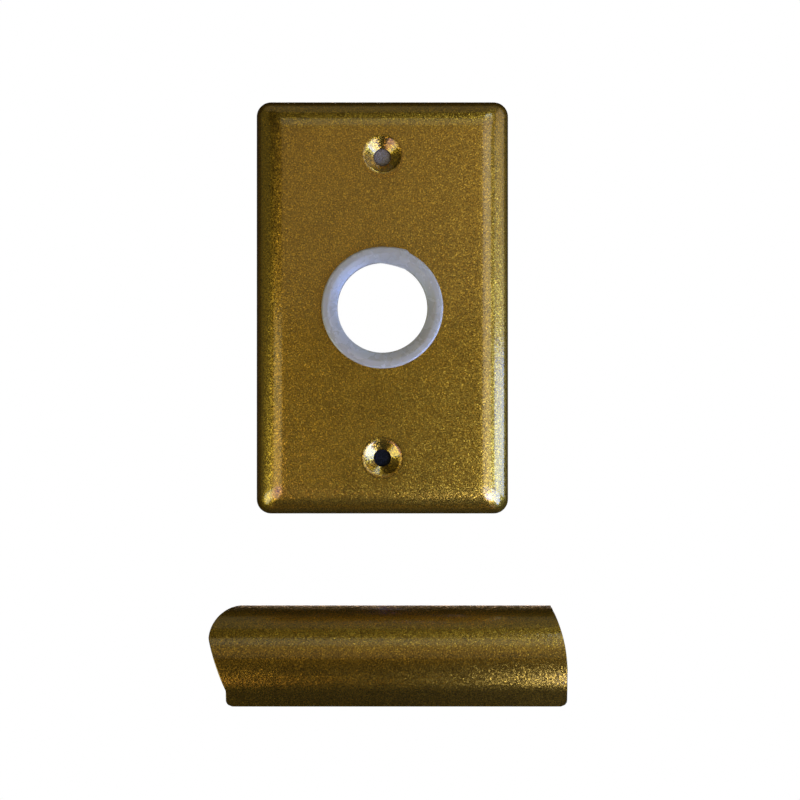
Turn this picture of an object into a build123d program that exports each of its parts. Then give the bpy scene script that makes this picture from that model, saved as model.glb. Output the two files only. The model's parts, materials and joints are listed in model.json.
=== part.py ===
from build123d import *

import os
from math import asin, atan2, cos, degrees, radians, sin, sqrt

# Selector key switch on a single-gang wall plate, with the loose cover strip that goes below it.
# Upright, +Z up.  The plate's front faces -Y.  The origin is where the axis of the cylinder bore
# crosses the wall plane (y = 0), which is the plane of the plate's rear rim.  Millimetres.

# ---------------------------------------------------------------- driving dimensions
# Face plate, the standard single-gang size, pressed from sheet.
PLATE_W = 69.85
PLATE_H = 114.3
PLATE_DEPTH = 5.6
SHEET = 1.0
BAND = 8.3  # width of the curved edge band, seen from the front
RIM_CORNER_R = 4.0
FLAT_CORNER_R = 3.0  # corner of the flat front field, where the bands' mitres end
BAND_STEPS = 6

SCREW_SPACING = 83.34
SCREW_HOLE_R = 2.35
DISH_R = 5.15  # pressed dish around a screw hole
DISH_DEPTH = 1.6
LIP_FILLET = 1.2
HOLE_LAND = 0.9  # straight wall of a screw hole below its dish

# Bushing that lines the bore for the installer's key cylinder.
BORE_R = 12.5
BUSHING_R = 14.2
FLANGE_R = 16.87
FLANGE_T = 1.3
FUNNEL_R = 14.6  # where the bore's soft lead-in starts on the flange
FUNNEL_DEPTH = 0.9
BUSHING_REAR = 2.6
CLEAR = 0.05  # running clearance on a radius
LOOSE = 0.1  # clearance of a screw in a hole

# Mechanism, held on four weld studs behind the plate.
STUD_X = 18.0
STUD_Z = 27.5
STUD_R = 1.5
STUD_FOOT_R = 3.0
STUD_FOOT_T = 0.6
STUD_END = 9.5
BASE_FRONT = 3.0
BASE_T = 2.0
BASE_W = 46.0
BASE_H = 66.0
BLOCK_H = 43.0
BLOCK_REAR = 13.0
COVER_T = 2.0
THROAT_R = 13.6  # opening through everything behind the bushing

ROTOR_R = 18.0
ROTOR_FRONT = 6.0
ROTOR_REAR = 12.95
GROOVE_FRONT = 7.8
GROOVE_REAR = 11.2
CAM_R = 16.4
CAM_OFFSET = 0.85  # eccentricity of the groove floor, which lifts the push pins
TURN = 45.0  # selector travel each way, degrees
STOP_R = 19.6
STOP_W = 4.0
STOP_PLAY = 0.6  # degrees left past each end position

# Push pins and snap-action switches, one pair above the rotor and one below.
PIN_Y = 9.5
PIN_R = 1.5
PIN_TOP = 21.7
PIN_GAP = 0.07
BUTTON_R = 1.0
BUTTON_TOP = 26.6
SWITCH_L = 19.8
SWITCH_H = 10.2
SWITCH_T = 6.4
SWITCH_BASE = 22.6  # distance of the switch from the rotor's axis
SWITCH_WALL = 1.2
LID_T = 1.2
SWITCH_SCREW_X = 4.75
SWITCH_SCREW_Z = 25.2
TERMINAL_X = 7.5
TERMINAL_W = 3.2
TERMINAL_T = 0.5
TERMINAL_TOP = 36.4
TERMINAL_EYE_Z = 35.2
BLADE_Z = 27.5

# Leads to the installer's terminals.
WIRE_R = 0.8
CORE_R = 0.45
LEAD_START = 10.6
LEAD_END = 46.0
CORE_END = 50.0
BUNDLE_PITCH = 1.7

# Cover strip below the plate: a curved sheet with its top edge on the wall.
STRIP_TOP = -82.6
STRIP_BOTTOM = -110.4
CROWN_Z = -101.5
CROWN_R = 20.0
TURN_IN_R = 9.0
STRIP_FLANGE = 4.2
RISE = asin((STRIP_TOP - CROWN_Z) / CROWN_R)  # angle from the crown up to the wall, radians
TURN_IN = asin((CROWN_Z - STRIP_BOTTOM - STRIP_FLANGE) / TURN_IN_R)
CROWN_Y = -CROWN_R * (1 - cos(RISE))
CLIP_SPACING = 56.0
CLIP_CENTRE_X = 2.0
CLIP_W = 12.0
CLIP_T = 0.8
CLIP_SCREW_R = 2.1

DISH_SLOPE = (DISH_R - SCREW_HOLE_R) / DISH_DEPTH
BOSS_REAR = -PLATE_DEPTH + DISH_DEPTH + HOLE_LAND
ON_BASE = (Align.CENTER, Align.CENTER, Align.MIN)
SIDES = (("upper", 1), ("lower", -1))
STUD_GRID = (2 * STUD_X, 2 * STUD_Z, 2, 2)
COVER_SCREW_GRID = (38.0, 35.0, 2, 2)
SWITCH_FRONT = PIN_Y - SWITCH_T / 2
SWITCH_REAR = PIN_Y + SWITCH_T / 2
BASE_REAR = BASE_FRONT + BASE_T
COVER_REAR = BLOCK_REAR + COVER_T


# ---------------------------------------------------------------- helpers
def facing(y):
    """Plane at depth y, looking out of the wall: local x is X, local y is Z, the normal is -Y."""
    return Plane.XZ.offset(-y)


def keep(piece, name):
    """Label a finished piece and write it under its node name."""
    piece.part.label = name
    export_step(piece.part, f"parts/{name}.step")


def full_angle(width, depth):
    """Full angle, in degrees, of a countersink that is width wider than its hole at this depth."""
    return 2 * degrees(atan2(width, depth))


def band_rectangle(angle, inset):
    """Width, height and depth of the pressed band where its arc stands at angle from the front."""
    arc_r = (BAND**2 + PLATE_DEPTH**2) / (2 * PLATE_DEPTH)
    radius = arc_r - inset
    reach = 2 * radius * sin(angle) - 2 * BAND
    depth = arc_r - PLATE_DEPTH - radius * cos(angle)
    return PLATE_W + reach, PLATE_H + reach, depth


def band_angle(inset):
    """Angle at which the band's arc, inset by some sheet thickness, meets the wall plane."""
    arc_r = (BAND**2 + PLATE_DEPTH**2) / (2 * PLATE_DEPTH)
    rise = arc_r - PLATE_DEPTH
    return asin(sqrt(1 - (rise / (arc_r - inset)) ** 2))


# ---------------------------------------------------------------- face plate
def face_plate():
    """Pressed plate: curved bands, two dished screw holes and the opening for the bushing."""
    dish_angle = full_angle(DISH_R - SCREW_HOLE_R, DISH_DEPTH)
    boss_rise = 1.9
    boss_r = SCREW_HOLE_R + SHEET
    with BuildPart() as plate:
        for inset, mode in ((0, Mode.ADD), (SHEET, Mode.SUBTRACT)):
            for step in range(BAND_STEPS, -1, -1):
                share = step / BAND_STEPS
                width, height, depth = band_rectangle(band_angle(inset) * share, inset)
                corner = FLAT_CORNER_R + (RIM_CORNER_R - FLAT_CORNER_R) * share - inset / 2
                with BuildSketch(facing(depth)):
                    RectangleRounded(width, height, corner)
            loft(mode=mode)
        with Locations(facing(BOSS_REAR)):
            with GridLocations(0, SCREW_SPACING, 1, 2):
                Cone(boss_r, boss_r + DISH_SLOPE * boss_rise, boss_rise, align=ON_BASE)
        with Locations(facing(-PLATE_DEPTH)):
            with GridLocations(0, SCREW_SPACING, 1, 2):
                CounterSinkHole(SCREW_HOLE_R, DISH_R, counter_sink_angle=dish_angle)
            Hole(BUSHING_R + LOOSE)
        lips = plate.edges().filter_by(GeomType.CIRCLE).filter_by(lambda edge: abs(edge.radius - DISH_R) < 0.01)
        fillet(lips, radius=LIP_FILLET)
    return plate


# ---------------------------------------------------------------- bushing set
def bushing():
    """Translucent liner: a flange on the plate's front and a sleeve through it."""
    front = -PLATE_DEPTH - FLANGE_T
    with BuildPart() as liner:
        with BuildSketch(facing(-PLATE_DEPTH)):
            Circle(FLANGE_R)
        extrude(amount=FLANGE_T)
        with BuildSketch(facing(BUSHING_REAR)):
            Circle(BUSHING_R)
        extrude(amount=BUSHING_REAR + PLATE_DEPTH)
        with Locations(facing(front)):
            CounterSinkHole(BORE_R, FUNNEL_R, counter_sink_angle=full_angle(FUNNEL_R - BORE_R, FUNNEL_DEPTH))
        outer_rim = liner.faces().filter_by(Axis.Y).sort_by(Axis.Y)[0].edges().sort_by(SortBy.RADIUS)[-1]
        fillet(outer_rim, radius=0.5)
    return liner


def ring(inner_r, outer_r, front, rear):
    """Plain flat ring about the bore's axis."""
    with BuildPart() as band:
        with BuildSketch(facing(rear)):
            Circle(outer_r)
            Circle(inner_r, mode=Mode.SUBTRACT)
        extrude(amount=rear - front)
    return band


def bushing_nut():
    """Thin hexagonal nut that clamps the bushing from behind."""
    flat_r = 17.0
    front = -PLATE_DEPTH + 2 * SHEET
    rear = front + 4.0
    with BuildPart() as nut:
        with BuildSketch(facing(rear)):
            RegularPolygon(flat_r, 6, major_radius=False, rotation=30)
            Circle(BUSHING_R + CLEAR, mode=Mode.SUBTRACT)
        extrude(amount=rear - front)
        rims = nut.edges().filter_by(Axis.Y)
        fillet(rims, radius=1.0)
    return nut


def foam_gasket():
    """Closed-cell frame glued inside the plate; the screws pierce it, so it has no screw holes."""
    recess_r = SCREW_HOLE_R + SHEET + LOOSE
    depth = PLATE_DEPTH - SHEET + BOSS_REAR + CLEAR
    flat_w = PLATE_W - 2 * BAND
    flat_h = PLATE_H - 2 * BAND
    with BuildPart() as gasket:
        with BuildSketch(facing(0)):
            RectangleRounded(flat_w - 0.6, flat_h - 0.6, FLAT_CORNER_R)
            RectangleRounded(2 * (STUD_X + 3.8), 2 * (STUD_Z + 3.8), 3.0, mode=Mode.SUBTRACT)
        extrude(amount=PLATE_DEPTH - SHEET)
        with Locations(facing(BOSS_REAR + CLEAR)):
            with GridLocations(0, SCREW_SPACING, 1, 2):
                Cone(recess_r, recess_r + DISH_SLOPE * depth, depth, align=ON_BASE, mode=Mode.SUBTRACT)
    return gasket


# ---------------------------------------------------------------- studs and their hardware
def plate_studs():
    """Four weld studs, each with a low foot on the back of the plate."""
    foot_front = -PLATE_DEPTH + SHEET
    with BuildPart() as studs:
        with BuildSketch(facing(foot_front + STUD_FOOT_T)):
            with GridLocations(*STUD_GRID):
                Circle(STUD_FOOT_R)
        extrude(amount=STUD_FOOT_T)
        with BuildSketch(facing(STUD_END)):
            with GridLocations(*STUD_GRID):
                Circle(STUD_R)
        extrude(amount=STUD_END - foot_front - STUD_FOOT_T)
        tips = studs.faces().filter_by(Axis.Y).group_by(Axis.Y)[-1].edges()
        chamfer(tips, length=0.3)
    return studs


def stud_rings(outer_r, front, rear):
    """One ring around each stud."""
    with BuildPart() as rings:
        with BuildSketch(facing(rear)):
            with GridLocations(*STUD_GRID):
                Circle(outer_r)
                Circle(STUD_R + LOOSE, mode=Mode.SUBTRACT)
        extrude(amount=rear - front)
    return rings


def stud_nuts(front, rear):
    """One hexagonal nut on each stud."""
    with BuildPart() as nuts:
        with BuildSketch(facing(rear)):
            with GridLocations(*STUD_GRID):
                RegularPolygon(2.75, 6, major_radius=False)
                Circle(STUD_R + CLEAR, mode=Mode.SUBTRACT)
        extrude(amount=rear - front)
    return nuts


# ---------------------------------------------------------------- rotor and housing
def rotor_housing():
    """Moulded base with the rotor's bore, the pins' guides and a pad under each switch."""
    pocket_r = ROTOR_R + CLEAR
    recess_r = STOP_R + 0.3
    recess_half = radians(TURN + STOP_PLAY) + asin(STOP_W / 2 / pocket_r)
    recess_end = (-recess_r * cos(recess_half), recess_r * sin(recess_half))
    with BuildPart() as housing:
        with BuildSketch(facing(BASE_REAR)):
            RectangleRounded(BASE_W, BASE_H, 4.0)
        extrude(amount=BASE_T)
        with BuildSketch(facing(BLOCK_REAR)):
            RectangleRounded(BASE_W, BLOCK_H, 5.0)
        extrude(amount=BLOCK_REAR - BASE_REAR)
        with BuildSketch(facing(SWITCH_FRONT)):
            with GridLocations(0, 2 * (SWITCH_BASE + SWITCH_H / 2), 1, 2):
                Rectangle(SWITCH_L, SWITCH_H)
        extrude(amount=SWITCH_FRONT - BASE_REAR)
        with BuildSketch(facing(BLOCK_REAR)):
            Circle(THROAT_R)
        extrude(amount=BLOCK_REAR - BASE_FRONT, mode=Mode.SUBTRACT)
        with BuildSketch(facing(BLOCK_REAR)):
            Circle(pocket_r)
        extrude(amount=BLOCK_REAR - BASE_REAR, mode=Mode.SUBTRACT)
        with BuildSketch(facing(BLOCK_REAR)):
            with BuildLine():
                Line((0, 0), recess_end)
                ThreePointArc(recess_end, (-recess_r, 0), (recess_end[0], -recess_end[1]))
                Line((recess_end[0], -recess_end[1]), (0, 0))
            make_face()
        extrude(amount=BLOCK_REAR - GROOVE_REAR + 0.2, mode=Mode.SUBTRACT)
        with BuildSketch(Plane.XY.offset(-BLOCK_H / 2)):
            with Locations((0, PIN_Y)):
                Circle(PIN_R + CLEAR)
        extrude(amount=BLOCK_H, mode=Mode.SUBTRACT)
        with Locations(facing(BASE_FRONT)):
            with GridLocations(*STUD_GRID):
                Hole(STUD_R + LOOSE)
        with BuildSketch(facing(BLOCK_REAR)):
            with GridLocations(*COVER_SCREW_GRID):
                Circle(1.25)
        extrude(amount=7.0, mode=Mode.SUBTRACT)
        with BuildSketch(facing(SWITCH_FRONT)):
            with GridLocations(2 * SWITCH_SCREW_X, 2 * SWITCH_SCREW_Z, 2, 2):
                Circle(1.0)
        extrude(amount=SWITCH_FRONT - BASE_FRONT, mode=Mode.SUBTRACT)
    return housing


def disc_spring():
    """Conical spring ring that holds the rotor back against the cover."""
    inner_r = 14.0
    outer_r = 17.5
    thickness = 0.3
    with BuildPart() as spring:
        with BuildSketch(Plane.XY):
            with BuildLine():
                Polyline(
                    (inner_r, ROTOR_FRONT - 0.05 - thickness),
                    (outer_r, BASE_REAR + 0.05),
                    (outer_r, BASE_REAR + 0.05 + thickness),
                    (inner_r, ROTOR_FRONT - 0.05),
                    close=True,
                )
            make_face()
        revolve(axis=Axis.Y)
    return spring


def selector_rotor():
    """Ring that the key cylinder's cam turns: two journals, an eccentric groove, a notch and a stop."""
    notch_w = 5.0
    notch_r = 15.2
    notch_depth = 4.4
    stop_inner = ROTOR_R - 1.5
    with BuildPart() as rotor:
        with BuildSketch(facing(ROTOR_REAR)):
            Circle(ROTOR_R)
        extrude(amount=ROTOR_REAR - ROTOR_FRONT)
        with BuildSketch(facing(GROOVE_REAR)):
            Circle(ROTOR_R + 1)
            with Locations((CAM_OFFSET, 0)):
                Circle(CAM_R, mode=Mode.SUBTRACT)
        extrude(amount=GROOVE_REAR - GROOVE_FRONT, mode=Mode.SUBTRACT)
        with BuildSketch(facing(ROTOR_REAR)):
            with Locations((-(stop_inner + STOP_R) / 2, 0)):
                Rectangle(STOP_R - stop_inner, STOP_W)
        extrude(amount=ROTOR_REAR - GROOVE_REAR)
        with Locations(facing(ROTOR_FRONT)):
            Hole(THROAT_R)
        with BuildSketch(facing(ROTOR_REAR)):
            with Locations((notch_r / 2, 0)):
                Rectangle(notch_r, notch_w)
        extrude(amount=notch_depth, mode=Mode.SUBTRACT)
    return rotor


def housing_cover():
    """Rear cover that closes the rotor's pocket."""
    with BuildPart() as cover:
        with BuildSketch(facing(COVER_REAR)):
            RectangleRounded(BASE_W, BLOCK_H, 5.0)
            Circle(THROAT_R, mode=Mode.SUBTRACT)
            with GridLocations(*COVER_SCREW_GRID):
                Circle(1.25 + LOOSE, mode=Mode.SUBTRACT)
        extrude(amount=COVER_T)
        edges = cover.faces().filter_by(Axis.Y).sort_by(Axis.Y)[-1].outer_wire().edges()
        fillet(edges, radius=0.6)
    return cover


def pan_screws(grid, seat, shank_r, head_r, head_h, length):
    """Pan-head screws driven from behind: head on the seat plane, shank towards the front."""
    with BuildPart() as screws:
        with BuildSketch(facing(seat)):
            with GridLocations(*grid):
                Circle(shank_r)
        extrude(amount=length)
        with BuildSketch(facing(seat + head_h)):
            with GridLocations(*grid):
                Circle(head_r)
        extrude(amount=head_h)
        crowns = screws.faces().filter_by(Axis.Y).group_by(Axis.Y)[-1].edges()
        fillet(crowns, radius=head_h * 0.4)
        slot_w = head_r * 0.35
        with BuildSketch(facing(seat + head_h)):
            with GridLocations(*grid):
                Rectangle(head_r * 1.2, slot_w)
                Rectangle(slot_w, head_r * 1.2)
        extrude(amount=head_h * 0.6, mode=Mode.SUBTRACT)
    return screws


# ---------------------------------------------------------------- push pins and switches
def push_pin(sign):
    """Round-nosed pin between the rotor's groove and a switch button."""
    nose = sqrt(CAM_R**2 - CAM_OFFSET**2) + PIN_GAP + PIN_R
    with BuildPart() as pin:
        with Locations((0, PIN_Y, sign * nose)):
            Sphere(PIN_R)
        with Locations((0, PIN_Y, sign * (nose + PIN_TOP) / 2)):
            Cylinder(PIN_R, PIN_TOP - nose)
    return pin


def switch_button(sign):
    """Button of a snap-action switch, with a collar inside the case."""
    collar_h = 0.8
    with BuildPart() as button:
        with Locations((0, PIN_Y, sign * (PIN_TOP + BUTTON_TOP) / 2)):
            Cylinder(BUTTON_R, BUTTON_TOP - PIN_TOP)
        with Locations((0, PIN_Y, sign * (BUTTON_TOP - collar_h / 2))):
            Cylinder(BUTTON_R + 0.4, collar_h)
    return button


def switch_case(sign):
    """Open tub of a switch: walls, screw posts, the button's hole and the terminals' slots."""
    middle = sign * (SWITCH_BASE + SWITCH_H / 2)
    tub_rear = SWITCH_REAR - LID_T
    tub_depth = tub_rear - SWITCH_FRONT
    with BuildPart() as tub:
        with BuildSketch(facing(tub_rear)):
            with Locations((0, middle)):
                RectangleRounded(SWITCH_L, SWITCH_H, 0.5)
        extrude(amount=tub_depth)
        with BuildSketch(facing(tub_rear)):
            with Locations((0, middle)):
                Rectangle(SWITCH_L - 2 * SWITCH_WALL, SWITCH_H - 2 * SWITCH_WALL)
            with GridLocations(2 * SWITCH_SCREW_X, 2 * SWITCH_SCREW_Z, 2, 2):
                Circle(2.0, mode=Mode.SUBTRACT)
        extrude(amount=tub_depth - SWITCH_WALL, mode=Mode.SUBTRACT)
        with BuildSketch(facing(tub_rear)):
            with Locations((-SWITCH_SCREW_X, sign * SWITCH_SCREW_Z), (SWITCH_SCREW_X, sign * SWITCH_SCREW_Z)):
                Circle(1.05)
        extrude(amount=tub_depth, mode=Mode.SUBTRACT)
        with Locations((0, PIN_Y, sign * (SWITCH_BASE + SWITCH_WALL / 2))):
            Cylinder(BUTTON_R + CLEAR, SWITCH_WALL + 0.2, mode=Mode.SUBTRACT)
        slot_z = sign * (SWITCH_BASE + SWITCH_H - SWITCH_WALL / 2)
        with Locations((-TERMINAL_X, PIN_Y, slot_z), (0, PIN_Y, slot_z), (TERMINAL_X, PIN_Y, slot_z)):
            Box(TERMINAL_W + 0.1, TERMINAL_T + 0.1, SWITCH_WALL + 0.2, mode=Mode.SUBTRACT)
    return tub


def switch_lid(sign):
    """Lid that closes a switch from behind."""
    with BuildPart() as lid:
        with BuildSketch(facing(SWITCH_REAR)):
            with Locations((0, sign * (SWITCH_BASE + SWITCH_H / 2))):
                RectangleRounded(SWITCH_L, SWITCH_H, 0.5)
            with Locations((-SWITCH_SCREW_X, sign * SWITCH_SCREW_Z), (SWITCH_SCREW_X, sign * SWITCH_SCREW_Z)):
                Circle(1.05, mode=Mode.SUBTRACT)
        extrude(amount=LID_T)
        rim = lid.faces().filter_by(Axis.Y).sort_by(Axis.Y)[-1].outer_wire().edges()
        chamfer(rim, length=0.25)
    return lid


def snap_blade(sign):
    """Sprung contact arm inside a switch, from the common terminal to the far contacts."""
    blade_w = 2.6
    thickness = 0.2
    reach = SWITCH_L / 2 - SWITCH_WALL - 0.4
    with BuildPart() as blade:
        with Locations((0, PIN_Y, sign * (BLADE_Z + thickness / 2))):
            Box(2 * reach, blade_w, thickness)
        with Locations((TERMINAL_X, PIN_Y, sign * (BLADE_Z + thickness + 0.25))):
            Cylinder(0.8, 0.5)
    return blade


def switch_terminals(sign):
    """Three solder terminals: common, normally open and normally closed."""
    common_foot = BLADE_Z + 0.2
    open_foot = BLADE_Z + 2.4
    closed_foot = BLADE_Z + 1.1
    with BuildPart() as terminals:
        for x, foot in ((-TERMINAL_X, common_foot), (0, open_foot), (TERMINAL_X, closed_foot)):
            with Locations((x, PIN_Y, sign * (foot + TERMINAL_TOP) / 2)):
                Box(TERMINAL_W - 0.8, TERMINAL_T, TERMINAL_TOP - foot)
        with BuildSketch(facing(PIN_Y)):
            with GridLocations(TERMINAL_X, 2 * TERMINAL_EYE_Z, 3, 2):
                Circle(0.65)
        extrude(amount=TERMINAL_T, both=True, mode=Mode.SUBTRACT)
    return terminals


# ---------------------------------------------------------------- leads
def lead(slot, sign):
    """Insulated lead of terminal slot -1, 0 or 1: hooked in the eye, led back into the bundle."""
    eye = (slot * TERMINAL_X, LEAD_START, sign * TERMINAL_EYE_Z)
    bend_start = (eye[0], LEAD_START + 5, eye[2])
    bend_end = (slot * BUNDLE_PITCH, LEAD_START + 13, eye[2])
    tail = (slot * BUNDLE_PITCH, LEAD_END, eye[2])
    with BuildPart() as wire:
        with BuildLine():
            if slot:
                FilletPolyline(eye, bend_start, bend_end, tail, radius=3.0)
            else:
                Line(eye, tail)
        with BuildSketch(facing(LEAD_START)):
            with Locations((eye[0], eye[2])):
                Circle(WIRE_R)
        sweep()
        with BuildSketch(facing(LEAD_START)):
            with Locations((eye[0], eye[2])):
                Circle(CORE_R)
        extrude(amount=LEAD_START - PIN_Y + 0.8)
        with BuildSketch(facing(CORE_END)):
            with Locations((tail[0], tail[2])):
                Circle(CORE_R)
        extrude(amount=CORE_END - LEAD_END)
    return wire


def cable_tie(sign):
    """Tie around one bundle of three leads, with its lock head."""
    tie_w = 2.4
    tie_front = 30.0
    inner_w = 2 * (BUNDLE_PITCH + WIRE_R + CLEAR)
    inner_h = 2 * (WIRE_R + CLEAR)
    thickness = 0.7
    centre_z = sign * TERMINAL_EYE_Z
    with BuildPart() as tie:
        with BuildSketch(facing(tie_front + tie_w)):
            with Locations((0, centre_z)):
                RectangleRounded(inner_w + 2 * thickness, inner_h + 2 * thickness, inner_h / 2)
                RectangleRounded(inner_w, inner_h, inner_h / 2 - CLEAR, mode=Mode.SUBTRACT)
        extrude(amount=tie_w)
        with Locations((inner_w / 2 + thickness + 1.1, tie_front + tie_w / 2, centre_z)):
            Box(3.0, tie_w + 1.2, 2.6)
        with Locations((inner_w / 2 + thickness + 1.1, tie_front + tie_w / 2, centre_z + sign * 2.4)):
            Box(1.0, tie_w, 2.6)
    return tie


# ---------------------------------------------------------------- cover strip and its wall clips
def trim_cover():
    """Curved cover strip: tongue-shaped left end, slightly bowed right end."""
    half = 60.0
    corner = 1.8
    left = -43.2
    right = 51.0
    big_centre = (CROWN_Y + CROWN_R, CROWN_Z)
    small_centre = (CROWN_Y + TURN_IN_R, CROWN_Z)
    over_rise = degrees(RISE) + 6
    flange_l = STRIP_FLANGE / cos(TURN_IN)
    along = Vector(sin(TURN_IN) * flange_l, -cos(TURN_IN) * flange_l)
    with BuildPart() as strip:
        with BuildSketch(Plane.YZ):
            with BuildLine():
                outer_top = CenterArc(big_centre, CROWN_R, 180 - over_rise, over_rise)
                outer_turn = CenterArc(small_centre, TURN_IN_R, 180, degrees(TURN_IN))
                outer_flange = Line(outer_turn @ 1, outer_turn @ 1 + along)
                inner_top = CenterArc(big_centre, CROWN_R - SHEET, 180 - over_rise, over_rise)
                inner_turn = CenterArc(small_centre, TURN_IN_R - SHEET, 180, degrees(TURN_IN))
                inner_flange = Line(inner_turn @ 1, inner_turn @ 1 + along)
                Line(outer_flange @ 1, inner_flange @ 1)
                Line(outer_top @ 0, inner_top @ 0)
            make_face()
            with Locations((-CROWN_R, CROWN_Z)):
                Rectangle(2 * CROWN_R, 4 * CROWN_R, mode=Mode.INTERSECT)
        extrude(amount=half, both=True)
        with BuildSketch(Plane.XZ):
            with BuildLine():
                top_left = (-38.5, STRIP_TOP)
                tongue = (-48.0, -91.2)
                heel = (left, -106.0)
                shoulder = (46.8, STRIP_TOP)
                bow_end = (right, -102.5)
                ThreePointArc(top_left, (-45.2, -85.2), tongue)
                ThreePointArc(tongue, (-46.6, -96.8), heel)
                Line(heel, (left, STRIP_BOTTOM + corner))
                RadiusArc((left, STRIP_BOTTOM + corner), (left + corner, STRIP_BOTTOM), -corner)
                Line((left + corner, STRIP_BOTTOM), (right - corner, STRIP_BOTTOM))
                RadiusArc((right - corner, STRIP_BOTTOM), (right, STRIP_BOTTOM + corner), -corner)
                Line((right, STRIP_BOTTOM + corner), bow_end)
                ThreePointArc(bow_end, (50.2, -92.0), shoulder)
                Line(shoulder, top_left)
            make_face()
        extrude(amount=half, both=True, mode=Mode.INTERSECT)
    return strip


def cover_clips():
    """Two spring clips screwed to the wall, which the strip snaps over."""
    inner_r = CROWN_R - SHEET - LOOSE
    grip = RISE * 0.72  # where the upper arm meets the strip, as an angle up from the crown
    foot_top = STRIP_TOP - 5.5
    foot_bottom = CROWN_Z - 3.5
    grip_y = CROWN_Y + CROWN_R - inner_r * cos(grip) + 0.6
    grip_z = CROWN_Z + inner_r * sin(grip) - 0.7
    lower_y = CROWN_Y + SHEET + LOOSE + 4.0
    lower_z = foot_bottom - 3.2
    with BuildPart() as clips:
        for x in (CLIP_CENTRE_X - CLIP_SPACING / 2, CLIP_CENTRE_X + CLIP_SPACING / 2):
            with BuildSketch(Plane.YZ.offset(x - CLIP_W / 2)):
                with BuildLine():
                    Polyline(
                        (0, foot_top),
                        (0, foot_bottom),
                        (lower_y, lower_z),
                        (lower_y, lower_z + CLIP_T),
                        (-CLIP_T, foot_bottom + CLIP_T),
                        (-CLIP_T, foot_top - CLIP_T),
                        (grip_y, grip_z - CLIP_T),
                        (grip_y, grip_z),
                        close=True,
                    )
                make_face()
            extrude(amount=CLIP_W)
        with BuildSketch(facing(0)):
            with Locations((CLIP_CENTRE_X, (foot_top + foot_bottom) / 2)):
                with GridLocations(CLIP_SPACING, 0, 2, 1):
                    Circle(CLIP_SCREW_R)
        extrude(amount=CLIP_T * 2, mode=Mode.SUBTRACT)
    return clips


# ---------------------------------------------------------------- build everything
os.makedirs("parts", exist_ok=True)

keep(face_plate(), "face_plate")
keep(bushing(), "bushing")
keep(ring(BUSHING_R + CLEAR, 18.0, -PLATE_DEPTH + SHEET, -PLATE_DEPTH + 2 * SHEET), "sealing_washer")
keep(bushing_nut(), "bushing_nut")
keep(foam_gasket(), "foam_gasket")

washer_rear = BASE_REAR + 0.6
keep(plate_studs(), "plate_studs")
keep(stud_rings(STUD_FOOT_R, -PLATE_DEPTH + SHEET + STUD_FOOT_T, BASE_FRONT), "stud_spacers")
keep(stud_rings(2.9, BASE_REAR, washer_rear), "stud_washers")
keep(stud_nuts(washer_rear, washer_rear + 2.4), "stud_nuts")

keep(rotor_housing(), "rotor_housing")
keep(disc_spring(), "disc_spring")
keep(selector_rotor(), "selector_rotor")
keep(housing_cover(), "housing_cover")
keep(pan_screws(COVER_SCREW_GRID, COVER_REAR, 1.2, 2.2, 1.6, 8.0), "cover_screws")

switch_screw_grid = (2 * SWITCH_SCREW_X, 2 * SWITCH_SCREW_Z, 2, 2)
keep(pan_screws(switch_screw_grid, SWITCH_REAR, 0.95, 1.8, 1.3, 9.0), "switch_screws")

for side, sign in SIDES:
    keep(push_pin(sign), f"{side}_push_pin")
    keep(switch_button(sign), f"{side}_button")
    keep(switch_case(sign), f"{side}_switch_case")
    keep(switch_lid(sign), f"{side}_switch_lid")
    keep(snap_blade(sign), f"{side}_snap_blade")
    keep(switch_terminals(sign), f"{side}_terminals")
    for slot, use in ((-1, "common"), (0, "open"), (1, "closed")):
        keep(lead(slot, sign), f"{side}_{use}_lead")
    keep(cable_tie(sign), f"{side}_cable_tie")

keep(trim_cover(), "trim_cover")
keep(cover_clips(), "cover_clips")
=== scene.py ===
import json
import math

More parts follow.
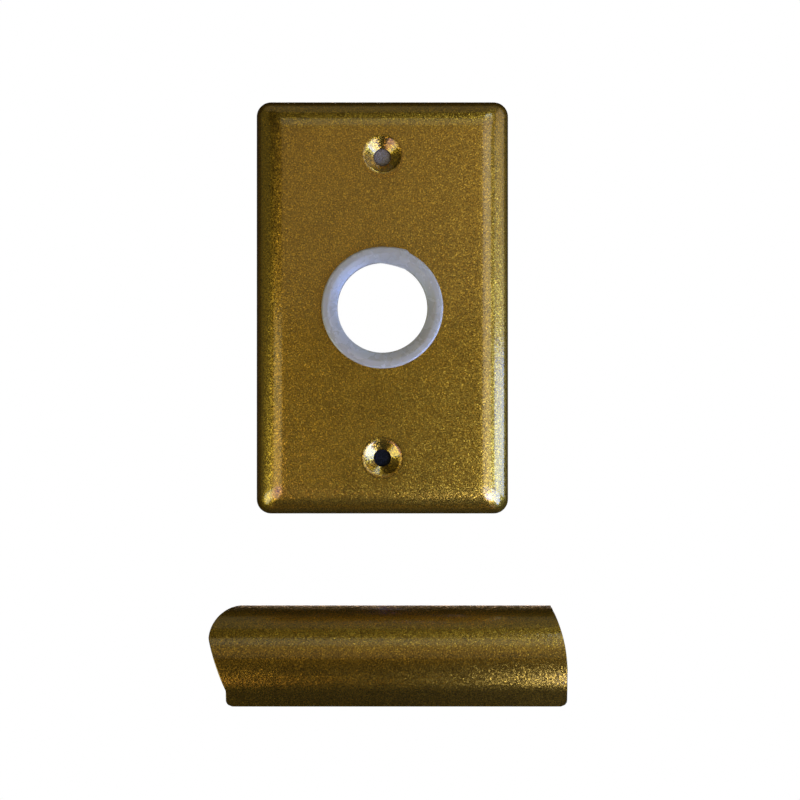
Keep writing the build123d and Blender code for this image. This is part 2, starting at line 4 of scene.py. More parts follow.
import bmesh
import bpy
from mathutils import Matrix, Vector

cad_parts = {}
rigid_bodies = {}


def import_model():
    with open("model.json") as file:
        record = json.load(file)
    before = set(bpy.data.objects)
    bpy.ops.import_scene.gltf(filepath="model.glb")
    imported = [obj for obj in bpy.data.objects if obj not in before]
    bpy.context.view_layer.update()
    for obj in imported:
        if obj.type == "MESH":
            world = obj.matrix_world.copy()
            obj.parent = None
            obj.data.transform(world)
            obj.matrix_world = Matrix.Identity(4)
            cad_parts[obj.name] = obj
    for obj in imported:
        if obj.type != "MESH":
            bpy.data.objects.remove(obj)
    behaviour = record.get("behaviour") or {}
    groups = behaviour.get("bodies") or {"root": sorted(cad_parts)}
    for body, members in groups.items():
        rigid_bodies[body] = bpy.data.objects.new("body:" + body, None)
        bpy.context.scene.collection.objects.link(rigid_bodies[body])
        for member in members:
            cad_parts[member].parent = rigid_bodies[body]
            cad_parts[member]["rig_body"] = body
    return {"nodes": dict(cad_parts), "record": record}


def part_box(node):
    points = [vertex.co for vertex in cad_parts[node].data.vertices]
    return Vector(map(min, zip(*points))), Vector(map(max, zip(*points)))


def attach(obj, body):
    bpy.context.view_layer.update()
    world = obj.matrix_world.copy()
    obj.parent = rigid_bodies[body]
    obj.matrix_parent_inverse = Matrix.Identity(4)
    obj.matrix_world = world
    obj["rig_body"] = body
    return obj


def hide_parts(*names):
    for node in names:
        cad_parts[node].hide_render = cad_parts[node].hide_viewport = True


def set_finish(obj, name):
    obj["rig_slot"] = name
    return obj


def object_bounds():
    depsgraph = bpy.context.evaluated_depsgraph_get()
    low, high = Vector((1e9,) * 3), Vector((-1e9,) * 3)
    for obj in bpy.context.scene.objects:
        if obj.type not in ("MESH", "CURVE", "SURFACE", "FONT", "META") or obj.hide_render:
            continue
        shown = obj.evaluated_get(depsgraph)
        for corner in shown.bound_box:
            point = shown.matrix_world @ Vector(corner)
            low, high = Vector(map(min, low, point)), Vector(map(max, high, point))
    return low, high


# Selector key switch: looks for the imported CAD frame.  Lengths in the mesh code are millimetres and
# become metres when a mesh is stored; lights, camera and textures are in metres.
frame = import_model()
CAD_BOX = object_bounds()
MM = 0.001


def box_mm(node):
    """Lowest and highest corner of a CAD node, in millimetres."""
    low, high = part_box(node)
    return low / MM, high / MM


def mount(name):
    """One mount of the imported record."""
    return next(m for m in frame["record"]["mounts"] if m["name"] == name)


# ---------------------------------------------------------------- sizes
PLATE_LOW, PLATE_HIGH = box_mm("face_plate")
PLATE_W = PLATE_HIGH.x - PLATE_LOW.x
PLATE_H = PLATE_HIGH.z - PLATE_LOW.z
PLATE_FRONT = PLATE_LOW.y
SHEET = 1.0
BAND = 8.3
RIM_CORNER_R = 4.0
FLAT_CORNER_R = 1.6
SCREW_HOLE_R = mount("plate_screws")["dims"]["hole_r_mm"]
SCREW_Z = mount("plate_screws")["dims"]["spacing_y_mm"] / 2
DISH_R = 5.15
DISH_DEPTH = 1.6
HOLE_LAND = 0.9

LINER_LOW, LINER_HIGH = box_mm("bushing")
FLANGE_R = LINER_HIGH.x
FLANGE_FRONT = LINER_LOW.y
SLEEVE_R = 14.2
SLEEVE_PLAY = 0.1
BORE_R = mount("cylinder_bore")["dims"]["r_mm"]

STRIP_LOW, STRIP_HIGH = box_mm("trim_cover")
CROWN_Y = STRIP_LOW.y
CROWN_Z = STRIP_LOW.z + 8.9
CROWN_R = 20.0
TURN_IN_R = 9.0


# ---------------------------------------------------------------- mesh helpers
class Profile:
    """A cross-section drawn as straight runs and tangent arcs.

    Heading 0 goes towards the axis, 90 goes away from the viewer; a positive turn is from 0 to 90."""

    def __init__(self, across, depth, heading=0.0):
        self.points = [(across, depth)]
        self.heading = math.radians(heading)

    def step(self, length, heading):
        across, depth = self.points[-1]
        self.points.append((across - length * math.cos(heading), depth + length * math.sin(heading)))

    def run(self, length):
        self.step(length, self.heading)

    def run_to_across(self, across):
        self.run((self.points[-1][0] - across) / math.cos(self.heading))

    def run_to_depth(self, depth):
        self.run((depth - self.points[-1][1]) / math.sin(self.heading))

    def arc(self, radius, turn, steps=6):
        piece = math.radians(turn) / steps
        chord = 2 * radius * math.sin(abs(piece) / 2)
        for _ in range(steps):
            self.step(chord, self.heading + piece / 2)
            self.heading += piece


def add_loop(mesh, points):
    """Vertices at points given in millimetres."""
    return [mesh.verts.new(Vector(point) * MM) for point in points]


def bridge(mesh, first, second, closed=True):
    """Quads between two loops that have the same number of vertices."""
    for i in range(0 if closed else 1, len(first)):
        mesh.faces.new((first[i - 1], first[i], second[i], second[i - 1]))


def bridge_all(mesh, loops, closed=True):
    """Quads from each loop to the next."""
    for first, second in zip(loops, loops[1:]):
        bridge(mesh, first, second, closed)


def fill_flat(mesh, loops):
    """Triangles over a flat area between its outer loop and the loops of its holes."""
    edges = [mesh.edges.get((loop[i - 1], loop[i])) for loop in loops for i in range(len(loop))]
    bmesh.ops.triangle_fill(mesh, edges=edges, use_beauty=True)


def circle(radius, y, centre_z=0.0, count=96):
    """Points of a circle that faces the viewer."""
    angles = (math.tau * i / count for i in range(count))
    return [(radius * math.cos(a), y, centre_z + radius * math.sin(a)) for a in angles]


def rounded_rectangle(width, height, radius, y):
    """The same number of points for every size, so that such loops can be bridged."""
    corner_steps = 12
    side_steps = 14
    x = width / 2 - radius
    z = height / 2 - radius
    centres = ((x, z), (-x, z), (-x, -z), (x, -z))
    points = []
    for quarter, (centre_x, centre_z) in enumerate(centres):
        for step in range(corner_steps + 1):
            angle = math.radians(90 * (quarter + step / corner_steps))
            round_x, round_z = radius * math.cos(angle), radius * math.sin(angle)
            points.append(Vector((centre_x + round_x, y, centre_z + round_z)))
        next_x, next_z = centres[(quarter + 1) % 4]
        start = points[-1]
        end = start + Vector((next_x - centre_x, 0, next_z - centre_z))
        points += [start.lerp(end, step / side_steps) for step in range(1, side_steps)]
    return points


def new_piece(name, mesh, stands_for, slot):
    """Store a finished mesh as a smooth-shaded piece that stands for a CAD node and rides on its body."""
    bmesh.ops.recalc_face_normals(mesh, faces=mesh.faces)
    for face in mesh.faces:
        face.smooth = True
    data = bpy.data.meshes.new(name)
    mesh.to_mesh(data)
    mesh.free()
    piece = bpy.data.objects.new(name, data)
    bpy.context.scene.collection.objects.link(piece)
    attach(piece, frame["nodes"][stands_for]["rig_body"])
    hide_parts(stands_for)
    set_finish(piece, slot)
    return piece


def round_edges(piece, radius):
    """Break a piece's sharp edges with a small radius, given in millimetres."""
    rounded = piece.modifiers.new("rim", "BEVEL")
    rounded.width = radius * MM
    rounded.segments = 3
    rounded.limit_method = "ANGLE"
    rounded.angle_limit = math.radians(50)
    rounded.harden_normals = True


# ---------------------------------------------------------------- face plate
def band_curve(inset):
    """(distance out from the flat field, y) down one skin of the curved band; the bend sets in gently."""
    steps = 16
    gentleness = 1.3
    rim_heading = math.radians(76)
    headings = [rim_heading * (step / steps) ** gentleness for step in range(steps + 1)]
    points = [(0.0, 0.0)]
    for first, second in zip(headings, headings[1:]):
        across, depth = points[-1]
        middle = (first + second) / 2
        points.append((across + math.cos(middle), depth + math.sin(middle)))
    last_across, last_depth = points[-1]
    curve = []
    for (across, depth), heading in zip(points, headings):
        out = BAND * across / last_across - inset * math.sin(heading)
        y = PLATE_FRONT * (1 - depth / last_depth) + inset * math.cos(heading)
        curve.append((out, min(0.0, y)))
    return curve


def band_loops(mesh, inset):
    """Loops up the curved band of one skin, from the rim to the flat field."""
    loops = []
    for out, y in reversed(band_curve(inset)):
        grow = 2 * (out - BAND)
        corner = FLAT_CORNER_R + (RIM_CORNER_R - FLAT_CORNER_R) * out / BAND - inset / 2
        loops.append(add_loop(mesh, rounded_rectangle(PLATE_W + grow, PLATE_H + grow, corner, y)))
    support = 0.4
    field_w = PLATE_W - 2 * BAND - support
    field_h = PLATE_H - 2 * BAND - support
    field = rounded_rectangle(field_w, field_h, FLAT_CORNER_R - inset / 2 - support / 2, PLATE_FRONT + inset)
    loops.append(add_loop(mesh, field))
    bridge_all(mesh, loops)
    return loops


def dish_profile():
    """Dished screw hole: rolled lip, cone, hole edge, straight wall, and the boss behind it."""
    slope = math.degrees(math.atan2(DISH_DEPTH, DISH_R - SCREW_HOLE_R))
    flat = 0.1
    lip_r = 2.4
    edge_r = 0.3
    burr = 0.12
    boss_root_r = 1.5
    back_flat = 0.5
    tangent = lip_r * math.tan(math.radians(slope / 2))
    land_end = DISH_DEPTH + HOLE_LAND
    boss_r = SCREW_HOLE_R + SHEET
    profile = Profile(DISH_R + tangent + flat, 0)
    profile.run(flat)
    profile.arc(lip_r, slope, steps=10)
    profile.run_to_across(SCREW_HOLE_R + edge_r * (1 - math.sin(math.radians(slope))))
    profile.arc(edge_r, 90 - slope)
    profile.run_to_depth(land_end - burr)
    profile.arc(burr, 90, steps=3)
    profile.run_to_across(boss_r - burr)
    profile.arc(burr, slope, steps=3)
    root_drop = boss_root_r * (1 - math.cos(math.radians(slope)))
    profile.run_to_depth(SHEET + root_drop)
    profile.arc(boss_root_r, -slope)
    profile.run(back_flat)
    return profile.points


def plate_shell():
    """Pressed plate with a front and a back skin, joined at the rim and in the holes."""
    upper_lean = 0.9  # the upper dish's lip stands this much above its hole
    opening_r = SLEEVE_R + SLEEVE_PLAY
    back_y = PLATE_FRONT + SHEET
    mesh = bmesh.new()
    front = band_loops(mesh, 0)
    back = band_loops(mesh, SHEET)
    bridge(mesh, front[0], back[0])
    front_loops, back_loops = [front[-1]], [back[-1]]
    for centre_z, lean in ((SCREW_Z, upper_lean), (-SCREW_Z, 0)):
        loops = []
        for radius, depth in dish_profile():
            lip_z = centre_z + lean * max(0, 1 - depth / DISH_DEPTH)
            loops.append(add_loop(mesh, circle(radius, PLATE_FRONT + depth, lip_z)))
        bridge_all(mesh, loops)
        front_loops.append(loops[0])
        back_loops.append(loops[-1])
    rims = [add_loop(mesh, circle(opening_r, y)) for y in (PLATE_FRONT, back_y)]
    bridge(mesh, *rims)
    fill_flat(mesh, front_loops + rims[:1])
    fill_flat(mesh, back_loops + rims[1:])
    plate = new_piece("plate_shell", mesh, "face_plate", "gold_paint")
    round_edges(plate, 0.18)
    return plate


# ---------------------------------------------------------------- bushing
def liner_profile():
    """Flange with a soft rim, a dished face, a lead-in and the sleeve, as one closed outline."""
    edge = 0.25
    rim_r = 0.6
    rim_land = 0.9
    dishing_r = 2.0
    dishing = 24
    lead_in = 0.25
    lead_in_r = 0.45
    rear = LINER_HIGH.y - FLANGE_FRONT
    flange_rear = PLATE_FRONT - FLANGE_FRONT
    profile = Profile(FLANGE_R - edge, flange_rear, heading=180)
    profile.arc(edge, 90, steps=4)
    profile.run_to_depth(rim_r)
    profile.arc(rim_r, 90, steps=8)
    profile.run(rim_land)
    profile.arc(dishing_r, dishing)
    profile.run_to_across(BORE_R + lead_in)
    profile.arc(lead_in_r, 90 - dishing)
    profile.run_to_depth(rear - edge)
    profile.arc(edge, 90, steps=4)
    profile.run_to_across(SLEEVE_R - edge)
    profile.arc(edge, 90, steps=4)
    profile.run_to_depth(flange_rear)
    return profile.points


def nub_height(angle):
    """Moulding nub on the flange's rim, as a share of its full height: a slow rise and a sudden end."""
    start, peak, end = math.radians(88), math.radians(67), math.radians(63.5)
    gentleness = 1.5
    if end < angle <= peak:
        return (angle - end) / (peak - end)
    if peak < angle < start:
        return ((start - angle) / (start - peak)) ** gentleness
    return 0.0


def flash_width(angle):
    """Flattened stretch of the bore's front edge below the nub, as a share of its full width."""
    middle, half = math.radians(76), math.radians(20)
    return max(0.0, 1 - ((angle - middle) / half) ** 2)


def liner_ring():
    """Lathed bushing with the marks that its moulding gate left on the rim and the bore's edge."""
    count = 180
    nub = 0.5
    nub_root = SLEEVE_R + 1
    flash = 0.6
    flash_reach = 0.6
    flash_depth = 5.0
    mesh = bmesh.new()
    loops = []
    for across, depth in liner_profile():
        on_rim = max(0.0, (across - nub_root) / (FLANGE_R - nub_root))
        on_edge = max(0.0, 1 - (across - BORE_R) / flash_reach) * max(0.0, 1 - depth / flash_depth)
        points = []
        for i in range(count):
            angle = math.tau * i / count
            radius = across + nub * on_rim * nub_height(angle) - flash * on_edge * flash_width(angle)
            points.append((radius * math.cos(angle), FLANGE_FRONT + depth, radius * math.sin(angle)))
        loops.append(add_loop(mesh, points))
    bridge_all(mesh, loops + loops[:1])
    return new_piece("liner_ring", mesh, "bushing", "clear_liner")


# ---------------------------------------------------------------- cover strip
def arc_x(first, second, third, z, side):
    """X of the arc through three (x, z) points, at height z, on the side given by the sign."""
    (ax, az), (bx, bz), (cx, cz) = first, second, third
    d = 2 * (ax * (bz - cz) + bx * (cz - az) + cx * (az - bz))
    a2, b2, c2 = ax**2 + az**2, bx**2 + bz**2, cx**2 + cz**2
    centre_x = (a2 * (bz - cz) + b2 * (cz - az) + c2 * (az - bz)) / d
    centre_z = (a2 * (cx - bx) + b2 * (ax - cx) + c2 * (bx - ax)) / d
    radius = math.hypot(ax - centre_x, az - centre_z)
    return centre_x + side * math.sqrt(max(0.0, radius**2 - (z - centre_z) ** 2))


def corner_inset(z, radius):
    """How far a rounded bottom corner has drawn in at height z."""
    below = STRIP_LOW.z + radius - z
    if below <= 0:
        return 0.0
    return radius - math.sqrt(max(0.0, radius**2 - below**2))


def strip_ends(z):
    """Left and right x of the strip at height z: tongue-shaped left end, slightly bowed right end."""
    left_x, right_x = STRIP_LOW.x, STRIP_HIGH.x
    foot_z, top_z = STRIP_LOW.z, STRIP_HIGH.z
    shoulder, shoulder_middle = (left_x + 9.5, top_z), (left_x + 2.8, foot_z + 25.2)
    tongue, tongue_middle = (left_x, foot_z + 19.2), (left_x + 1.4, foot_z + 13.6)
    heel = (left_x + 4.8, foot_z + 4.4)
    bow_top, bow_middle = (right_x - 4.275, top_z), (right_x - 0.875, foot_z + 18.4)
    bow_end = (right_x, foot_z + 7.9)
    foot_corner_r = 1.8
    if z > tongue[1]:
        left = arc_x(shoulder, shoulder_middle, tongue, z, -1)
    elif z > heel[1]:
        left = arc_x(tongue, tongue_middle, heel, z, -1)
    else:
        left = heel[0]
    if z > bow_end[1]:
        right = arc_x(bow_top, bow_middle, bow_end, z, 1)
    else:
        right = bow_end[0]
    draw_in = corner_inset(z, foot_corner_r)
    return left + draw_in, right - draw_in


def strip_section(inset):
    """(y, z) points of one skin of the strip, from the wall over the crown to its turned-in foot."""
    big_steps, small_steps, foot_steps = 34, 10, 8
    foot_height = 4.2
    big_r, small_r = CROWN_R - inset, TURN_IN_R - inset
    centre_y = CROWN_Y + CROWN_R
    rise = math.acos(centre_y / big_r)
    turn_in = math.asin((CROWN_Z - STRIP_LOW.z - foot_height) / TURN_IN_R)
    foot = foot_height / math.cos(turn_in)
    points = []
    for step in range(big_steps):
        angle = rise * (1 - step / big_steps)
        points.append((centre_y - big_r * math.cos(angle), CROWN_Z + big_r * math.sin(angle)))
    for step in range(small_steps + 1):
        angle = turn_in * step / small_steps
        y = CROWN_Y + TURN_IN_R - small_r * math.cos(angle)
        points.append((y, CROWN_Z - small_r * math.sin(angle)))
    turn_y, turn_z = points[-1]
    for step in range(1, foot_steps + 1):
        run = foot * step / foot_steps
        points.append((turn_y + run * math.sin(turn_in), turn_z - run * math.cos(turn_in)))
    return points


def strip_shell():
    """Curved sheet with two skins and closed edges, cut to its two end shapes."""
    columns = 72
    mesh = bmesh.new()
    outer_section, inner_section = strip_section(0), strip_section(SHEET)
    skins = []
    for section in (outer_section, inner_section):
        rows = []
        for (y, z), (_, cut_z) in zip(section, outer_section):
            left, right = strip_ends(cut_z)
            stations = (left + (right - left) * i / columns for i in range(columns + 1))
            rows.append(add_loop(mesh, [(x, y, z) for x in stations]))
        bridge_all(mesh, rows, closed=False)
        skins.append(rows)
    outer, inner = skins
    bridge(mesh, outer[0], inner[0], closed=False)
    bridge(mesh, outer[-1], inner[-1], closed=False)
    for end in (0, -1):
        bridge(mesh, [row[end] for row in outer], [row[end] for row in inner], closed=False)
    strip = new_piece("strip_shell", mesh, "trim_cover", "gold_paint")
    round_edges(strip, 0.2)
    return strip


# ---------------------------------------------------------------- procedural materials
class Nodes:
    """Builds one material; its methods add nodes and return the socket that the next one takes."""

    def __init__(self, name):
        self.material = bpy.data.materials.new(name)
        self.material.use_nodes = True
        self.tree = self.material.node_tree
        self.tree.nodes.clear()
        self.place = self.add("TexCoord", output="Object")

    def add(self, kind, inputs=None, output=0, **settings):
        node = self.tree.nodes.new("ShaderNode" + kind)
        for key, value in settings.items():
            setattr(node, key, value)
        for key, value in (inputs or {}).items():
            if isinstance(value, bpy.types.NodeSocket):
                self.tree.links.new(value, node.inputs[key])
            else:
                node.inputs[key].default_value = value
        return node.outputs[output]

    def maths(self, operation, first, second):
        return self.add("Math", {0: first, 1: second}, operation=operation)

    def vector(self, operation, first, second=(0, 0, 0), output="Vector"):
        return self.add("VectorMath", {0: first, 1: second}, output, operation=operation)

    def ramp(self, value, low, high, to_low=0.0, to_high=1.0):
        ends = {"Value": value, "From Min": low, "From Max": high, "To Min": to_low, "To Max": to_high}
        return self.add("MapRange", ends, interpolation_type="SMOOTHSTEP")

    def noise(self, size, detail=3.0, stretch=(1, 1, 1)):
        """Noise whose blobs are about size metres across, stretched per axis."""
        place = self.vector("MULTIPLY", self.place, stretch)
        return self.add("TexNoise", {"Vector": place, "Scale": 1 / size, "Detail": detail}, "Fac")

    def cells(self, size, output="Color"):
        return self.add("TexVoronoi", {"Vector": self.place, "Scale": 1 / size}, output)

    def mix(self, share, first, second):
        return self.add("Mix", {0: share, 6: first, 7: second}, 2, data_type="RGBA")

    def edges(self, radius):
        """1 on convex and concave edges, 0 on open surfaces."""
        soft = self.add("Bevel", {"Radius": radius}, samples=6)
        plain = self.add("NewGeometry", output="Normal")
        likeness = self.vector("DOT_PRODUCT", soft, plain, "Value")
        return self.ramp(likeness, 0.995, 0.85)

    def bump(self, height, distance):
        return self.add("Bump", {"Height": height, "Distance": distance})

    def drift(self, size, low, high):
        """A value that drifts between low and high over blobs about size metres across."""
        return self.ramp(self.noise(size), 0.3, 0.7, low, high)

    def finish(self, shader):
        """Put the shader on the surface and return the material."""
        out = self.tree.nodes.new("ShaderNodeOutputMaterial")
        self.tree.links.new(shader, out.inputs["Surface"])
        return self.material

    def principled(self, **inputs):
        named = {key.replace("_", " "): value for key, value in inputs.items()}
        return self.add("BsdfPrincipled", named, "BSDF")


def shade(colour, factor):
    """A colour made lighter or darker, with full alpha."""
    return tuple(min(1.0, channel * factor) for channel in colour) + (1.0,)


def gold_paint():
    """Flake paint: flakes tilted at random, dark specks, rubbed edges and a clear coat with orange peel."""
    gold = (0.42, 0.205, 0.015)
    flake_size, speck_size, cloud_size = 0.00028, 0.0004, 0.012
    flake_tilt = 0.22
    peel_size, peel_depth = 0.0011, 0.00002
    rub_radius, rub_size = 0.0004, 0.002
    gloss_reach, gloss_end = 0.0054, 0.0064  # the dished screw holes are glossier, out to here
    dish_gloss = 0.11
    nodes = Nodes("gold_paint_finish")
    flakes = nodes.cells(flake_size)
    tilt = nodes.vector("SUBTRACT", flakes, (0.5, 0.5, 0.5))
    tilt = nodes.vector("MULTIPLY", tilt, (flake_tilt, flake_tilt, flake_tilt))
    surface = nodes.add("NewGeometry", output="Normal")
    flake_normal = nodes.vector("NORMALIZE", nodes.vector("ADD", surface, tilt))
    cloud = nodes.ramp(nodes.noise(cloud_size, 4.0), 0.35, 0.65)
    spark = nodes.ramp(nodes.add("SeparateColor", {0: flakes}, "Green"), 0.55, 1.0, 0.0, 0.85)
    specks = nodes.ramp(nodes.noise(speck_size), 0.45, 0.68, 0.0, 0.75)
    rubbed = nodes.ramp(nodes.noise(rub_size), 0.45, 0.7, 0.0, 0.6)
    body = nodes.mix(cloud, shade(gold, 0.94), shade(gold, 1.06))
    body = nodes.mix(spark, body, shade(gold, 2.15))
    body = nodes.mix(specks, body, shade(gold, 0.37))
    body = nodes.mix(nodes.maths("MULTIPLY", nodes.edges(rub_radius), rubbed), body, shade(gold, 0.35))
    across_plate = nodes.vector("MULTIPLY", nodes.vector("ABSOLUTE", nodes.place), (1, 0, 1))
    from_screw = nodes.vector("DISTANCE", across_plate, (0, 0, SCREW_Z * MM), "Value")
    in_dish = nodes.ramp(from_screw, gloss_reach, gloss_end, 1.0, 0.0)
    satin = nodes.drift(0.004, 0.3, 0.33)
    roughness = nodes.maths("SUBTRACT", satin, nodes.maths("MULTIPLY", in_dish, dish_gloss))
    peel = nodes.bump(nodes.noise(peel_size, 2.0), peel_depth)
    shader = nodes.principled(
        Base_Color=body, Metallic=0.9, Roughness=roughness, Normal=flake_normal,
        Coat_Weight=1.0, Coat_Roughness=0.13, Coat_Normal=peel,
    )
    return nodes.finish(shader)


def clear_liner():
    """Milky translucent moulding, warmed with painted gold light bounced from the plate, and with a painted
    cool reflection towards its inner edge.
    """
    painted_cool_reach, painted_cool_end = 0.0128, 0.0146
    peel_size, peel_depth = 0.0015, 0.00003
    nodes = Nodes("clear_liner_with_painted_light")
    across_axis = nodes.vector("MULTIPLY", nodes.place, (1, 0, 1))
    radius = nodes.vector("LENGTH", across_axis, output="Value")
    # painted cool reflection: the colour turns cooler towards the bore's edge
    inner = nodes.ramp(radius, painted_cool_reach, painted_cool_end, 1.0, 0.0)
    # painted light: the milky colour is warmed as if gold light from the plate passed through it
    milky_with_painted_gold_light = nodes.mix(nodes.drift(0.006, 0.0, 1.0), (0.48, 0.365, 0.25, 1), (0.505, 0.395, 0.27, 1))
    colour = nodes.mix(inner, milky_with_painted_gold_light, (0.46, 0.37, 0.27, 1))
    peel = nodes.bump(nodes.noise(peel_size), peel_depth)
    shader = nodes.principled(
        Base_Color=colour, Roughness=nodes.drift(0.003, 0.24, 0.30), Normal=peel,
        Subsurface_Weight=0.7, Subsurface_Radius=(0.004, 0.004, 0.0042), Subsurface_Scale=1.0,
        Transmission_Weight=0.12, IOR=1.5, Specular_IOR_Level=0.35,
    )
    return nodes.finish(shader)


def moulding(name, colour, roughness, grain=0.0006, depth=0.00002, mottle=0.12):
    """Moulded plastic or rubber: fine grain, slow mottling and edges rubbed a little lighter."""
    cloud_size = 0.006
    rub_radius, rub_size = 0.00035, 0.0015
    lighter = tuple(min(1.0, channel * 1.25 + 0.03) for channel in colour) + (1.0,)
    nodes = Nodes(name)
    cloud = nodes.ramp(nodes.noise(cloud_size, 4.0), 0.3, 0.7)
    rubbed = nodes.ramp(nodes.noise(rub_size), 0.35, 0.65, 0.2, 0.8)
    body = nodes.mix(cloud, shade(colour, 1 - mottle), shade(colour, 1 + mottle))
    body = nodes.mix(nodes.maths("MULTIPLY", nodes.edges(rub_radius), rubbed), body, lighter)
    matt = nodes.drift(0.003, roughness - 0.05, roughness + 0.07)
    shader = nodes.principled(
        Base_Color=body, Roughness=matt, Normal=nodes.bump(nodes.noise(grain), depth), IOR=1.48,
    )
    return nodes.finish(shader)


def foam():
    """Closed-cell foam: small pits, with a painted pool of light where the upper hole bares it."""
    pit_size, pit_depth = 0.0005, 0.0002
    light_pool_reach, light_pool_end = 0.0018, 0.0028
    behind_hole = (0, (PLATE_FRONT + DISH_DEPTH + HOLE_LAND) * MM, SCREW_Z * MM)
    nodes = Nodes("black_foam_with_painted_light")
    pits = nodes.cells(pit_size, "Distance")
    away = nodes.vector("DISTANCE", nodes.place, behind_hole, "Value")
    # painted light: a lighter patch painted where light through the upper hole would fall on the foam
    painted_light_pool = nodes.ramp(away, light_pool_reach, light_pool_end, 0.9, 0.0)
    body = nodes.mix(nodes.ramp(pits, 0.0, 0.6), (0.003, 0.003, 0.003, 1), (0.009, 0.008, 0.008, 1))
    body = nodes.mix(painted_light_pool, body, (0.28, 0.2, 0.14, 1))
    shader = nodes.principled(
        Base_Color=body, Roughness=0.95, Specular_IOR_Level=0.1, Normal=nodes.bump(pits, pit_depth),
    )
    return nodes.finish(shader)


def metal(name, colour, roughness, tarnish, stretch=(1, 1, 1)):
    """Plated or rolled metal: brushed or crystalline grain, tarnish in patches, bright edges."""
    grain_size, grain_depth = 0.0004, 0.00001
    patch_size = 0.0035
    edge_radius = 0.0003
    nodes = Nodes(name)
    grain = nodes.noise(grain_size, 3.0, stretch)
    patches = nodes.ramp(nodes.noise(patch_size, 5.0), 0.42, 0.68)
    body = nodes.mix(patches, shade(colour, 1.0), shade(tarnish, 1.0))
    body = nodes.mix(nodes.edges(edge_radius), body, shade(colour, 1.35))
    matt = nodes.ramp(grain, 0.25, 0.75, roughness - 0.08, roughness + 0.12)
    shader = nodes.principled(
        Base_Color=body, Metallic=1.0, Roughness=matt, Normal=nodes.bump(grain, grain_depth),
    )
    return nodes.finish(shader)


FINISHES = {
    "gold_paint": gold_paint(),
    "clear_liner": clear_liner(),
    "black_foam": foam(),
    "black_rubber": moulding("black_rubber_finish", (0.018, 0.018, 0.019), 0.7, 0.0004, 0.00002, 0.2),
    "white_nylon": moulding("white_nylon_finish", (0.74, 0.72, 0.64), 0.42),
    "grey_moulding": moulding("grey_moulding_finish", (0.13, 0.135, 0.14), 0.55, 0.0003, 0.00004),
    "acetal": moulding("acetal_finish", (0.78, 0.77, 0.72), 0.32, 0.0009, 0.00001, 0.05),
    "switch_black": moulding("switch_black_finish", (0.02, 0.02, 0.021), 0.38, 0.0008, 0.00001, 0.2),
    "switch_lid": moulding("switch_lid_finish", (0.16, 0.02, 0.014), 0.4, 0.0008, 0.00001),
    "button_red": moulding("button_red_finish", (0.45, 0.03, 0.02), 0.3, 0.0009, 0.00001, 0.05),
    "wire_black": moulding("wire_black_finish", (0.016, 0.016, 0.017), 0.4, 0.0012, 0.00001, 0.2),
    "wire_blue": moulding("wire_blue_finish", (0.03, 0.09, 0.4), 0.4, 0.0012, 0.00001),
    "wire_red": moulding("wire_red_finish", (0.42, 0.02, 0.016), 0.4, 0.0012, 0.00001),
    "zinc_steel": metal("zinc_steel_finish", (0.62, 0.64, 0.66), 0.34, (0.5, 0.5, 0.44)),
    "spring_steel": metal("spring_steel_finish", (0.48, 0.48, 0.47), 0.3, (0.36, 0.33, 0.28), (1, 1, 0.08)),
    "silver_brass": metal("silver_brass_finish", (0.78, 0.76, 0.7), 0.26, (0.62, 0.5, 0.3)),
    "spring_bronze": metal("spring_bronze_finish", (0.68, 0.42, 0.22), 0.28, (0.45, 0.26, 0.13), (0.1, 1, 1)),
}


def paint_everything():
    """Each piece takes the finish of its slot; a CAD node keeps the slots that it was packed with."""
    for piece in (plate_shell(), liner_ring(), strip_shell()):
        piece.data.materials.append(FINISHES[piece["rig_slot"]])
    for node in frame["nodes"].values():
        for material_slot in node.material_slots:
            material_slot.material = FINISHES[material_slot.material.name.split(".")[0]]


# ---------------------------------------------------------------- stage, light and camera
WHITE = (1, 1, 1, 1)


def studio_world():
    """White to the camera; to everything else a dim surround, darkest above, that the lights stand in."""
    world = bpy.data.worlds.new("studio")
    bpy.context.scene.world = world
    world.use_nodes = True
    tree = world.node_tree
    tree.nodes.clear()
    path = tree.nodes.new("ShaderNodeLightPath")
    place = tree.nodes.new("ShaderNodeTexCoord")
    height = tree.nodes.new("ShaderNodeSeparateXYZ")
    ramp = tree.nodes.new("ShaderNodeMapRange")
    for end, value in (("From Min", -0.5), ("From Max", 0.6), ("To Min", 0.03), ("To Max", 0.01)):
        ramp.inputs[end].default_value = value
    dim = tree.nodes.new("ShaderNodeBackground")
    bright = tree.nodes.new("ShaderNodeBackground")
    dim.inputs["Color"].default_value = (1, 0.85, 0.75, 1)
    bright.inputs["Color"].default_value = WHITE
    both = tree.nodes.new("ShaderNodeMixShader")
    out = tree.nodes.new("ShaderNodeOutputWorld")
    link = tree.links.new
    link(place.outputs["Generated"], height.inputs[0])
    link(height.outputs["Z"], ramp.inputs["Value"])
    link(ramp.outputs["Result"], dim.inputs["Strength"])
    link(path.outputs["Is Camera Ray"], both.inputs["Fac"])
    link(dim.outputs[0], both.inputs[1])
    link(bright.outputs[0], both.inputs[2])
    link(both.outputs[0], out.inputs["Surface"])


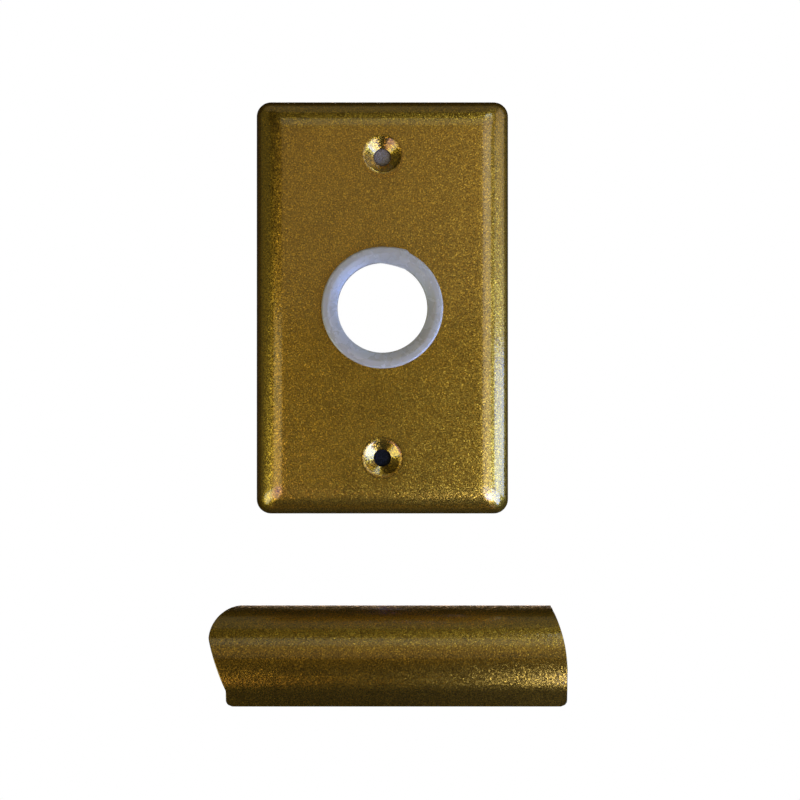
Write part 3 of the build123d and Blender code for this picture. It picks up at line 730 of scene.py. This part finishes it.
def pale_floor():
    """Plain floor that reads white from above and isn't there from below."""
    size = 6.0
    drop = 0.25
    mesh = bmesh.new()
    bmesh.ops.create_grid(mesh, x_segments=4, y_segments=4, size=size / 2)
    data = bpy.data.meshes.new("floor")
    mesh.to_mesh(data)
    mesh.free()
    floor = bpy.data.objects.new("floor", data)
    floor.location.z = CAD_BOX[0].z - drop
    bpy.context.scene.collection.objects.link(floor)
    nodes = Nodes("pale_floor_finish")
    ray = nodes.add("LightPath", output="Is Camera Ray")
    below = nodes.add("NewGeometry", output="Backfacing")
    white = nodes.add("Emission", {"Color": WHITE, "Strength": 1.0})
    grey = nodes.add("BsdfDiffuse", {"Color": (0.02, 0.02, 0.02, 1)})
    seen = nodes.add("MixShader", {0: ray, 1: grey, 2: white})
    clear = nodes.add("BsdfTransparent")
    data.materials.append(nodes.finish(nodes.add("MixShader", {0: below, 1: seen, 2: clear})))


def flag_for(piece_name):
    """Works as a studio flag: the lights that carry it don't fall on that piece."""
    flag = bpy.data.collections.new(piece_name + "_flag")
    flag.objects.link(bpy.data.objects[piece_name])
    flag.collection_objects[0].light_linking.link_state = "EXCLUDE"
    return flag


def soft_light(name, place, facing, width, height, radiance, flag=None):
    """Rectangular soft light, unseen by the camera; radiance is given for red, green and blue."""
    strongest = max(radiance)
    light = bpy.data.lights.new(name, "AREA")
    light.shape = "RECTANGLE"
    light.size = width
    light.size_y = height
    light.energy = strongest * math.pi * width * height
    light.color = [channel / strongest for channel in radiance]
    lamp = bpy.data.objects.new(name, light)
    lamp.location = place
    lamp.rotation_mode = "QUATERNION"
    lamp.rotation_quaternion = Vector(facing).to_track_quat("-Z", "Y")
    lamp.visible_camera = False
    lamp.light_linking.receiver_collection = flag
    bpy.context.scene.collection.objects.link(lamp)


def front_light(name, x_range, z_range, radiance, flag=None):
    """Soft light in front of the plate, facing the wall."""
    reach = 0.22
    place = (sum(x_range) / 2, -reach, sum(z_range) / 2)
    soft_light(name, place, (0, 1, 0), x_range[1] - x_range[0], z_range[1] - z_range[0], radiance, flag)


def side_light(name, side, y_range, z_range, radiance, flag=None):
    """Soft light beside the plate, on the side given by the sign, facing across it."""
    reach = 0.24
    place = (side * reach, sum(y_range) / 2, sum(z_range) / 2)
    soft_light(name, place, (-side, 0, 0), y_range[1] - y_range[0], z_range[1] - z_range[0], radiance, flag)


def studio_lights():
    """Close soft lights: strong and cool low on the right, weaker on the left, faint above, one behind."""
    right, middle, left = (0.07, 0.20), (-0.07, 0.07), (-0.20, -0.07)
    lowest, low, centre = (-0.25, -0.15), (-0.15, -0.07), (-0.07, 0.07)
    high, highest = (0.07, 0.25), (0.25, 0.40)
    no_strip = flag_for("strip_shell")
    front_light("right_lowest", right, lowest, (2.5, 2.8, 4.0), no_strip)
    front_light("right_low", right, low, (2.4, 3.6, 6.4), no_strip)
    front_light("right_centre", right, centre, (1.15, 1.4, 1.7), no_strip)
    front_light("right_high", right, high, (0.7, 0.9, 1.4))
    front_light("right_highest", right, highest, (2.2, 3.3, 4.0))
    front_light("middle_centre", middle, (0.0, 0.12), (0.32, 0.29, 0.18))
    front_light("middle_high", middle, (0.12, 0.25), (0.48, 0.6, 0.55))
    front_light("left_lowest", left, lowest, (1.1, 0.9, 1.0))
    front_light("left_low", left, low, (1.1, 1.0, 2.4), no_strip)
    front_light("left_centre", left, (-0.07, 0.0), (1.3, 1.4, 0.8), no_strip)
    foot_y, head_y = (-0.27, -0.05), (-0.16, 0.06)
    foot_z = (-0.30, -0.07)
    side_light("right_foot", 1, foot_y, foot_z, (2.4, 4.5, 13.0), no_strip)
    side_light("right_waist", 1, head_y, (-0.07, -0.01), (2.1, 3.7, 8.0))
    side_light("right_head", 1, head_y, (-0.01, 0.30), (0.6, 0.7, 0.75))
    side_light("left_foot", -1, foot_y, foot_z, (2.1, 2.9, 2.6))
    side_light("left_head", -1, head_y, (-0.07, 0.30), (0.1, 0.12, 0.05))
    to_wall, down, to_viewer = (0, 1, 0), (0, 0, -1), (0, -1, -0.2)
    soft_light("right_close", (0.09, -0.12, -0.14), to_wall, 0.06, 0.08, (4.2, 5.8, 14.0))
    soft_light("left_close", (-0.10, -0.12, -0.12), to_wall, 0.08, 0.04, (1.2, 1.2, 1.1))
    soft_light("overhead", (0, -0.01, 0.30), down, 0.50, 0.18, (0.17, 0.2, 0.16))
    no_liner = flag_for("liner_ring")
    soft_light("behind", (0.05, 0.6, 0.1), to_viewer, 0.30, 0.30, (6.0, 6.0, 6.2), no_liner)


def photo_camera():
    """Long lens, square on to the plate."""
    distance = 1.6
    view_width = 0.2224
    centre_x, centre_z = 0.0049, -0.0256
    data = bpy.data.cameras.new("camera")
    data.lens = data.sensor_width * distance / view_width
    data.clip_end = 20
    camera = bpy.data.objects.new("camera", data)
    camera.location = (centre_x, -distance, centre_z)
    camera.rotation_euler = (math.radians(90), 0, 0)
    bpy.context.scene.collection.objects.link(camera)
    bpy.context.scene.camera = camera


paint_everything()
studio_world()
pale_floor()
studio_lights()
photo_camera()
bpy.context.scene.view_settings.view_transform = "Standard"
